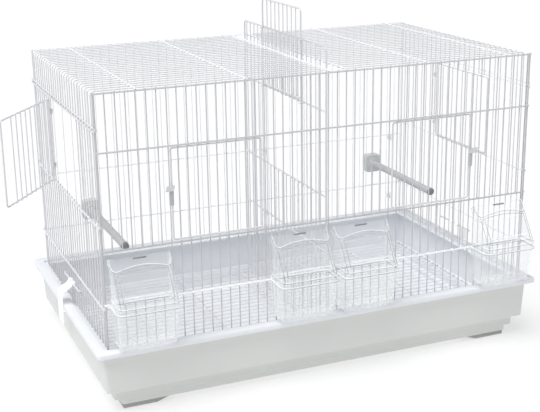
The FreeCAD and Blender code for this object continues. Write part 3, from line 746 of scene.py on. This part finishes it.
def nestDoor(name, side):
    first, last = endLook["nest"]
    hinge = (side * halfLength, barY(last), endLook["middle"])
    width = (last - first) * cage["sidePitch"]
    height = endLook["double"] - endLook["middle"]
    made = doorWires(hinge, (0, -1), (side, 0), width, height, cage["sidePitch"], last - first - 2, coat)
    pivot = Matrix.Translation(at(*hinge))
    turn = pivot @ Matrix.Rotation(math.radians(side * nestLook[name]), 4, "Z") @ pivot.inverted()
    piece(name + "NestDoorWires", made, name + "_nest_door", "white_wire", name + "_nest_door", turn=turn)


frontDoor("left", frontLook["doors"][0][1], -1)
frontDoor("right", frontLook["doors"][1][0], 1)
nestDoor("left", -1)
nestDoor("right", 1)

# Divider
dividerLook = {
    "x": 8.0, "pitch": 13.5, "pitches": 20, "back": 129.0, "bottom": 37.2, "top": 417.0, "bend": 6.0,
    "crosses": (152.0, 226.0, 336.0), "gate": (6, 15), "gateX": 5.5, "gateOverlap": 2.0,
    "gateLow": 341.0, "gateHigh": 456.0, "gateWeld": (1.5, 1.5, 1.9),
    "hookSheet": 1.6, "hookHeight": 2.0, "hookSoft": (0.4, 2), "gap": 0.4,
}


def divider(look=dividerLook):
    x, crossX = look["x"], look["x"] + layer
    pitch, back = look["pitch"], look["back"]
    front = back - pitch * look["pitches"]
    low, high = look["bottom"], look["top"]
    step = (0, -pitch, 0)

    def frameAt(x, y0, y1, z0, z1):
        return loopOf([(x, y0, z0), (x, y1, z0), (x, y1, z1), (x, y0, z1)], look["bend"])

    made = [frameAt(crossX, front, back, low, high)]
    made += [wires((crossX, front, z), (crossX, back, z), radius=stout) for z in look["crosses"]]
    first, last = look["gate"]
    holeLow, holeHigh = look["crosses"][1:]
    whole = [(low - stout, high + stout)]
    for start, stop, spans in (
        (1, first, whole), (last, look["pitches"] - 1, whole),
        (first + 1, last - 1, [(low - stout, holeLow + stout), (holeHigh - stout, high + stout)]),
    ):
        y = back - start * pitch
        for z0, z1 in spans:
            made.append(wires((x, y, z0), (x, y, z1), step, stop - start + 1, driftY))
    for z in look["crosses"] + (low, high):
        made.append(welds((x + fine, back - pitch, z), step, look["pitches"] - 1, weldEnd))
    gateX, gateLow, gateHigh = look["gateX"], look["gateLow"], look["gateHigh"]
    gateBack = back - first * pitch + look["gateOverlap"]
    gateFront = back - last * pitch - look["gateOverlap"]
    away = stout + look["gap"] + look["hookSheet"] / 2
    for stile, outward in ((gateBack, 1), (gateFront, -1)):
        outY, lipX = stile + outward * away, gateX - away
        for z in (holeHigh, high):
            base = z - look["hookHeight"] / 2
            line = [(crossX - stout, outY), (lipX, outY), (lipX, stile - outward * stout)]
            line = [at(*pair, base) for pair in line]
            hook = sheetStrip(line, at(0, 0, look["hookHeight"]), look["hookSheet"], coat)
            made.append(softened(hook, *look["hookSoft"]))
    piece("dividerWires", made, "divider", "white_wire", "divider_panel")

    y, count = back - (first + 1) * pitch, last - first - 1
    made = [frameAt(gateX, gateFront, gateBack, gateLow, gateHigh)]
    made.append(wires((gateX, y, gateLow), (gateX, y, gateHigh), step, count, driftY))
    made += [welds((gateX, y, z), step, count, look["gateWeld"]) for z in (gateLow, gateHigh)]
    piece("dividerDoorWires", made, "divider_door", "white_wire", "divider_door")


divider()

# Tray: rings from the inside bottom up, over the rim and down the outside
trayLook = {
    "levels": (  # reach past the wires in x and y, corner, height
        (-16.5, -7.5, 4.0, 11.5), (-16.5, -7.5, 4.0, 17.5), (-7.5, -5.0, 4.0, 17.5), (-7.5, -5.0, 4.0, 31.5),
        (3.0, 3.0, 3.5, 31.5), (5.4, 5.4, 5.0, 79.5), (-1.5, -1.5, 3.0, 79.5), (-1.5, -1.5, 3.0, 82.0),
        (4.5, 4.5, 3.5, 82.0), (4.5, 4.5, 3.5, 86.0), (15.0, 15.0, 4.2, 86.0), (16.4, 16.4, 5.2, 85.4),
        (17.0, 17.0, 5.6, 84.0), (17.0, 17.0, 5.6, 79.0), (14.5, 14.5, 4.0, 79.0), (14.5, 14.5, 4.0, 83.5),
        (8.0, 8.0, 5.0, 83.5), (5.5, 5.5, 4.4, 29.0), (-5.0, -2.5, 4.4, 29.0), (-5.0, -2.5, 4.4, 15.0),
        (-14.0, -5.0, 4.4, 15.0), (-14.0, -5.0, 4.4, 6.5),
    ),
    "softEdge": 0.9, "insideBands": 13, "cornerSteps": 8,
}


def tray(look=trayLook):
    rings = []
    for dx, dy, corner, z in look["levels"]:
        box = roundBox(halfLength + dx, halfDepth + dy, corner, look["cornerSteps"])
        rings.append([at(x, y, z) for x, y in box])
    body = loft(rings, trayOutside)
    # the inside bands take the lighter, glowing finish, painted light
    body.materials.append(trayInsidePaintedLight)
    for face in body.polygons:  # bands come in order, then the two closing faces
        if face.index < look["insideBands"] * len(rings[0]) or face.index == len(body.polygons) - 2:
            face.material_index = 1
    piece("trayShell", [softened(body, look["softEdge"])], "cage", "white_plastic", "base_tray", sharp=40)


footLook = {"length": 62.0, "depth": 45.0, "slope": 19.0, "height": 6.5, "x": 271.6, "y": 160.3, "soft": 1.1}


def feet(look=footLook):
    length, height = look["length"], look["height"]
    side = ((0, height), (0, 0), (length - look["slope"], 0), (length, height))
    made = []
    for sx, sy in fourCorners:
        outline = [at(sx * (look["x"] - reach), sy * look["y"], z) for reach, z in side]
        made.append(softened(prism(outline, at(0, -sy * look["depth"], 0), footRubber), look["soft"]))
    piece("trayFeet", made, "cage", "dark_rubber", "tray_feet", sharp=40)


tray()
feet()

# Tray clips: the bends of a strap, as shifts in x and z from the pivot, the rim's bend and the rim's skirt
clipLook = {
    "width": 20.8, "sheet": 2.0, "bore": 1.5, "ringWall": 1.4, "ring": (-20, 290, 14), "split": 2.5,
    "pivot": (290.1, 112.0), "rim": 305.8, "bend": 101.0, "skirt": 79.0, "knee": 77.0, "tail": 60.0,
    "atPivot": ((0.0, -0.4), (0.3, -1.6), (1.4, -2.8)), "atBend": ((-1.8, 1.2), (-0.4, -0.4), (0.0, -2.4)),
    "catch": ((0.0, -3.6), (-1.2, -2.4), (-3.0, -2.0)), "catchSheet": 1.4, "soft": (0.45, 2),
}


def trayClip(name, side, look=clipLook):
    px, pz = look["pivot"]
    wide, half = look["width"] / 2, look["sheet"] / 2
    rimX = look["rim"] + half

    def strip(points, low, high, sheet):
        line = [at(side * x, low, z) for x, z in points]
        # the clip's white is painted lighter, with a glow, as painted light
        return softened(sheetStrip(line, at(0, high - low, 0), sheet, clipWhitePaintedLight), *look["soft"])

    def shifted(x, z, shifts):
        return [(x + dx, z + dz) for dx, dz in shifts]

    strap = shifted(px + look["bore"] + half, pz, look["atPivot"])
    strap += shifted(rimX, look["bend"], look["atBend"]) + [(rimX, look["knee"]), (rimX, look["tail"])]
    made = [strip(strap, -wide, wide, look["sheet"])]
    made.append(strip(shifted(rimX, look["skirt"], look["catch"]), -wide, wide, look["catchSheet"]))
    ring = arc(px, pz, look["bore"] + look["ringWall"] / 2, *look["ring"])
    for low, high in ((-wide, -look["split"]), (look["split"], wide)):
        made.append(strip(ring, low, high, look["ringWall"]))
    piece(name + "TrayClip", made, name + "_tray_clip", "white_plastic", name + "_tray_clip")


trayClip("left", -1)
trayClip("right", 1)

# Feeders
feederLook = {
    "places": (-246.0, -42.0, 42.0, 246.0), "half": 39.0, "back": -171.3, "front": -210.7, "wall": 1.6,
    "cupLow": 94.0, "cupHigh": 141.2, "cupDraft": 7.0, "sideDraft": 2.5, "rim": 2.0, "rimHeight": 2.4,
    "rimStep": 0.02, "corner": 8.0, "cornerSteps": 6, "lipHalf": 34.0, "lipInside": -159.7, "lipZ": 141.5,
    "hoodHalf": 36.5, "hoodCorner": 7.2, "hoodLip": 6.0, "shoulderY": -185.0, "shoulderZ": 187.0,
    "hoodTop": 197.0, "slot": (8.0, 2.4, 1.6), "slotDrop": 1.6, "arch": 7.0, "archDrop": 4.0,
    "roofBand": 0.35, "border": 1.3, "borderLift": 0.2, "lintel": 3.0, "ribs": (2.0, 6.0), "ribInset": 1.5,
    "lidHalf": 28.5, "lidGap": 0.5, "topMargin": 7.0, "bottomMargin": 8.0, "lidSheet": 1.6,
    "barrel": 1.6, "barrelArc": (30, 300, 12), "pull": 3.0, "pullTop": 1.2,
}
feederSoft = {"cup": (0.75, 3, 35), "lip": (0.4, 2), "hood": (1.8, 3, 28), "lid": (0.4, 2, 50)}
beadLook = {  # radii, how deep the cup's beads lie, and a pair's lift and thickness as shares of its radius
    "rim": 1.1, "base": 0.8, "hood": 0.9, "slotShade": 1.0, "line": 0.6,
    "rimSink": 0.6, "baseSink": 0.4, "baseLift": 0.9, "pairLift": 0.6, "pairShare": 0.58,
}


# a clear edge drawn as a painted highlight line over a painted shade line
def paintedEdgePair(points, radius):
    lift, share = at(0, 0, radius * beadLook["pairLift"]), radius * beadLook["pairShare"]
    bright = bead([point + lift for point in points], share, paintedHighlightFinish)
    return [bright, bead([point - lift for point in points], share, shadeFinish)]


# seen from above: square at the back, rounded at the front
def cupRing(half, back, front, corner, z, extra=()):
    x, y, steps = half - corner, front + corner, feederLook["cornerSteps"]
    pairs = [(half, back), (-half, back)] + arc(-x, y, corner, 180, 90, steps)
    pairs += [(place, front) for place in extra] + arc(x, y, corner, 270, 90, steps)
    return [at(*pair, z) for pair in pairs]


# the same ring, from one back corner round the front to the other
def openRing(*values):
    ring = cupRing(*values)
    return ring[1:] + ring[:1]


def feederCup(look=feederLook):
    half, back, front, wall, corner = (look[key] for key in ("half", "back", "front", "wall", "corner"))
    cupLow, cupHigh, lipZ = look["cupLow"], look["cupHigh"], look["lipZ"]
    high = half - look["rim"]
    low = high - look["sideDraft"]
    frontHigh = front + look["rim"]
    frontLow = frontHigh + look["cupDraft"]
    rimLow = cupHigh - look["rimHeight"]
    outer = corner - look["rim"]
    cup = loft([
        cupRing(low - wall, back - wall, frontLow + wall, outer - wall, cupLow + wall),
        cupRing(high - wall, back - wall, frontHigh + wall, outer - wall, cupHigh),
        cupRing(half, back, front, corner, cupHigh),
        cupRing(half, back, front, corner, rimLow),
        cupRing(high, back, frontHigh, outer, rimLow - look["rimStep"]),
        cupRing(low, back, frontLow, outer, cupLow),
    ], cupFinish)
    y, z = back - wall / 2, lipZ + wall / 2
    line = [at(-look["lipHalf"], *pair) for pair in ((y, rimLow), (y, z), (look["lipInside"], z))]
    lip = sheetStrip(line, at(2 * look["lipHalf"], 0, 0), wall, clearFinish)
    sink, low = beadLook["rimSink"], low - beadLook["baseSink"]
    rim = openRing(half - sink, back, front + sink, corner, cupHigh - look["rimHeight"] / 2)
    base = openRing(low, back, frontLow + beadLook["baseSink"], outer, cupLow + beadLook["baseLift"])
    made = [softened(cup, *feederSoft["cup"]), softened(lip, *feederSoft["lip"])]
    # the rim gets a painted highlight line over a painted shade line
    return made + [bead(base, beadLook["base"], cupFinish)] + paintedEdgePair(rim, beadLook["rim"])


# the hood's sloping front: its start, its directions along and out, its length and its lid's length
def slopeFrame(look=feederLook):
    start = Vector((0, look["front"], look["cupHigh"] + look["hoodLip"]))
    slope = Vector((0, look["shoulderY"], look["shoulderZ"])) - start
    run = slope.normalized()
    lidLength = slope.length - look["topMargin"] - look["bottomMargin"] - look["barrel"]
    return start, run, Vector((0, -run.z, run.y)), slope.length, lidLength


def feederHood(look=feederLook):
    start, run, out, length, lidLength = slopeFrame()
    half, back, roof, shoulder = (look[key] for key in ("hoodHalf", "back", "hoodTop", "shoulderY"))
    window = look["lidHalf"] + look["lidGap"]
    topAlong = length - look["topMargin"] + look["lidGap"]
    bottomAlong = topAlong - lidLength - 2 * look["lidGap"] - look["barrel"]
    slope = [start + run * along for along in (bottomAlong, topAlong, length)]
    levels = [(look["front"], look["cupHigh"]), (look["front"], start.z)]
    levels += [(spot.y, spot.z) for spot in slope]
    across = [window * i / 6 for i in range(-6, 7)]
    rings = [openRing(half, back, front, look["hoodCorner"], z, across) for front, z in levels]
    for point in rings[-1]:  # the shoulder is arched in front and rises to the back
        share = (point.y / mm - shoulder) / (back - shoulder)
        bow = look["arch"] * math.cos(point.x / mm / half * math.pi / 2) - look["archDrop"]
        point.z += (share * (roof - look["shoulderZ"]) + (1 - share) * bow) * mm
    shape = bmesh.new()
    rows = [[shape.verts.new(point) for point in ring] for ring in rings]
    count = len(rows[0])

    def skin(rows, openBand, opening):  # the back stays open too
        for band, (low, high) in enumerate(zip(rows, rows[1:])):
            for i in range(count - 1):
                if band != openBand or i not in opening:
                    shape.faces.new((low[i], low[i + 1], high[i + 1], high[i]))

    flat = look["cornerSteps"] + 2
    skin(rows, 2, range(flat, flat + len(across) - 1))
    slotHalf, slotWide, slotInset = look["slot"]
    insets = (slotInset + slotWide, slotInset, 0)
    grid = [rows[-1]]
    for share in [look["roofBand"]] + [1 - inset / (back - shoulder) for inset in insets]:
        grid.append([])
        for x, y, z in rings[-1]:
            place = (x, y + (back * mm - y) * share, z + (roof * mm - z) * share)
            grid[-1].append(shape.verts.new(place))
    middles = [(left.x + right.x) / 2 for left, right in zip(rings[-1], rings[-1][1:])]
    skin(grid, 2, [i for i, x in enumerate(middles) if abs(x) < slotHalf * mm])
    bmesh.ops.remove_doubles(shape, verts=shape.verts[:], dist=1e-6)
    shell = finishMesh(shape, clearFinish)
    solid = {"thickness": look["wall"] * mm, "offset": -1.0, "use_even_offset": True}
    shell = worked(shell, bevel(*feederSoft["hood"]), ("SOLIDIFY", solid, {}))

    def onSlope(x, along):
        spot = start + run * along + out * look["borderLift"]
        return at(x, spot.y, spot.z)

    border, edge = look["border"], window + look["border"]
    outline = [onSlope(x, bottomAlong - border) for x in (-edge, edge)]
    for i in range(8, -9, -1):
        bow = look["lintel"] * math.cos(i / 8 * math.pi / 2)
        outline.append(onSlope(edge * i / 8, topAlong + border + bow))
    # a dark bar in the slot and a dark line round the lid's window are painted shade
    slotShade = [at(x, back - slotInset - slotWide / 2, roof - look["slotDrop"]) for x in (-slotHalf, slotHalf)]
    made = [shell, bead(slotShade, beadLook["slotShade"], capGrey), bead(outline, beadLook["line"], shadeFinish, True)]
    # the hood's front corners are drawn as dark lines of painted shade
    bend = 1 + look["cornerSteps"] // 2
    for i in (bend, count - 1 - bend):
        made.append(bead([ring[i] for ring in rings[1:]], beadLook["line"], shadeFinish))
    # the shoulder and the hood's lower edge each get a painted highlight line over a painted shade line
    return made + paintedEdgePair(rings[-1], beadLook["hood"]) + paintedEdgePair(rings[1], beadLook["hood"])


def feederLid(look=feederLook):
    start, run, out, length, lidLength = slopeFrame()
    half, sheet, pull = look["lidHalf"], look["lidSheet"] / 2, look["pull"]
    hinge = start + run * (length - look["topMargin"] - look["barrel"]) - out * sheet

    def spot(along, depth, x=0.0):
        point = hinge - run * along + out * depth
        return at(x - half, point.y, point.z)

    outline = [spot(*pair) for pair in arc(0, 0, look["barrel"], *look["barrelArc"])]  # turns in the hood
    outline += [spot(lidLength, -sheet), spot(lidLength, sheet)]
    foot, head = (lidLength - pull, lidLength), (lidLength, lidLength - look["pullTop"])
    tab = [spot(along, sheet, half / 2) for along in foot] + [spot(along, pull, half / 2) for along in head]
    made = [softened(prism(outline, at(2 * half, 0, 0), lidFinish), *feederSoft["lid"])]
    made.append(softened(prism(tab, at(half, 0, 0), lidFinish), *feederSoft["lip"]))
    # the lid's ribs are beads in the painted highlight finish
    for inward in look["ribs"]:
        ends = [spot(lidLength - inward, sheet, x) for x in (look["ribInset"], 2 * half - look["ribInset"])]
        made.append(bead(ends, beadLook["line"], paintedHighlightFinish))
    return made


def feeders():
    cup, hood, lid = feederCup(), feederHood(), feederLid()
    kinds = (("Cup", cup, "feeder"), ("Hood", hood, "feeder"), ("Lid", lid, "feeder_lid"))
    for number, x in enumerate(feederLook["places"], 1):
        shift = Matrix.Translation(at(x, 0, 0))
        for kind, made, body in kinds:
            node = f"feeder_{kind.lower()}_{number}"
            piece(f"feeder{kind}{number}", made, f"{body}_{number}", "clear_plastic", node, turn=shift)


feeders()

# Perches: profiles in pairs of distance along and radius; blocks by half width, half height, depth and corner
perchLook = {
    "left": (-222.0, 158.0), "right": (234.0, 174.0), "rodStart": 162.8, "rodEnd": -14.2,
    "rod": ((0, 4.6), (0.6, 5.2), (177.0, 5.2)), "rodSteps": 72, "ridges": 12, "ridge": 0.22,
    "sleeve": ((0, 5.2), (0.2, 5.5), (5.8, 5.5), (6.0, 5.2)), "capSteps": 32,
    "cap": ((6.0, 5.3), (8.1, 5.3), (8.7, 4.8), (9.0, 3.9), (9.0, 3.3), (8.5, 2.9)),
    "holder": (12.5, 14.0, 12.0, 5.0), "holderFace": 154.8, "plate": (10.5, 12.0, 3.0, 3.0),
    "plateFace": 168.6, "blockSteps": 5, "blockSoft": (0.8, 3, 40), "roundSteps": 36,
    "collar": ((0, 8.4), (1.6, 8.2), (2.0, 7.6), (2.0, 5.35)), "collarFace": 155.0, "screwFace": 171.6,
    "screw": ((0, 4.0), (0.8, 4.0), (1.7, 3.44), (2.3, 2.4), (2.5, 1.9), (1.2, 1.7)),
    "socketFrom": 1.95, "socketFlat": 0.95,
}


def ridged(angle, radius):
    return radius - perchLook["ridge"] * (0.5 + 0.5 * math.cos(perchLook["ridges"] * angle))


# the screw's socket is six-sided, its head is round
def sixSided(angle, radius):
    if radius > perchLook["socketFrom"]:
        return radius
    return radius * perchLook["socketFlat"] / math.cos(angle % (math.pi / 3) - math.pi / 6)


def perches(look=perchLook):
    caps, holders, plates, screws = [], [], [], []
    for name in ("left", "right"):
        x, z = look[name]

        def around(kind, face, direction, finish, steps, shapeAt=None):
            return turned(at(x, look[face], z), direction, look[kind], finish, look[steps], shapeAt)

        def block(kind):
            place = at(x, look[kind + "Face"], z)
            return roundBlock(place, *look[kind], look["blockSteps"], holderGrey, look["blockSoft"])

        rod = around("rod", "rodStart", -1, perchFinish, "rodSteps", ridged)
        piece(name + "PerchRod", [rod], "cage", "grey_plastic", name + "_perch_rod", sharp=50)
        caps.append(around("sleeve", "rodEnd", -1, perchFinish, "capSteps"))
        caps.append(around("cap", "rodEnd", -1, capGrey, "capSteps"))
        holders += [block("holder"), around("collar", "collarFace", -1, holderGrey, "roundSteps")]
        plates.append(block("plate"))
        screws.append(around("screw", "screwFace", 1, steel, "roundSteps", sixSided))
    for kind, made, slot, sharp in (
        ("Caps", caps, "dark_plastic", 40), ("Holders", holders, "grey_plastic", 40),
        ("Plates", plates, "grey_plastic", 40), ("Screws", screws, "bright_steel", 30),
    ):
        piece("perch" + kind, made, "cage", slot, "perch_" + kind.lower(), sharp=sharp)


perches()

# Stage
stageLook = {
    "floorSize": 60.0, "floorGreys": (0.40, 0.42), "floorRough": 0.9, "floorGlow": 0.56,
    "sky": (0.94, 0.97, 1, 1), "world": 0.27, "lookAt": (0.0, 0.0, 0.22),
    "key": ("SUN", {"energy": 2.85, "angle": math.radians(50)}, (-0.36, -0.15, 0.92)),
    "fill": ("AREA", {"energy": 3.0, "size": 2.4}, (0.6, -2.6, 1.6)),
}


def stage(look=stageLook):
    ground = startFinish("paleFloor")
    colour = ground.noise(3, 2).blend(*([grey] * 3 for grey in look["floorGreys"]))
    finish = endFinish(ground, colour, look["floorRough"], glow=look["floorGlow"])
    shape = bmesh.new()
    bmesh.ops.create_grid(shape, x_segments=2, y_segments=2, size=look["floorSize"])
    floor = addObject("floor", finishMesh(shape, finish))
    world = bpy.data.worlds.new("studio")
    world.use_nodes = True
    backdrop = world.node_tree.nodes["Background"]
    backdrop.inputs["Color"].default_value = look["sky"]
    backdrop.inputs["Strength"].default_value = look["world"]
    bpy.context.scene.world = world
    for name in ("key", "fill"):
        kind, settings, place = look[name]
        light = bpy.data.lights.new(name, kind)
        setAll(light, settings)
        lamp = addObject(name, light)
        lamp.location = Vector(look["lookAt"]) + Vector(place)
        lamp.rotation_euler = (-Vector(place)).to_track_quat("-Z", "Y").to_euler()


cameraLook = {
    "place": (-0.5789, -1.3694, 0.6331), "lens": 74.97, "sensor": 36,
    "right": (0.9213, -0.3885, -0.0144), "up": (0.1266, 0.2648, 0.9560), "back": (-0.3676, -0.8826, 0.2931),
}


def camera(look=cameraLook):
    shot = bpy.data.cameras.new("shot")
    setAll(shot, {"lens": look["lens"], "sensor_width": look["sensor"], "sensor_fit": "HORIZONTAL"})
    eye = addObject("shot", shot)
    turn = Matrix((look["right"], look["up"], look["back"])).transposed().to_4x4()
    eye.matrix_world = Matrix.Translation(look["place"]) @ turn
    bpy.context.scene.camera = eye


stage()
camera()
print("stage and camera set")

bpy.context.scene.view_settings.view_transform = "Standard"
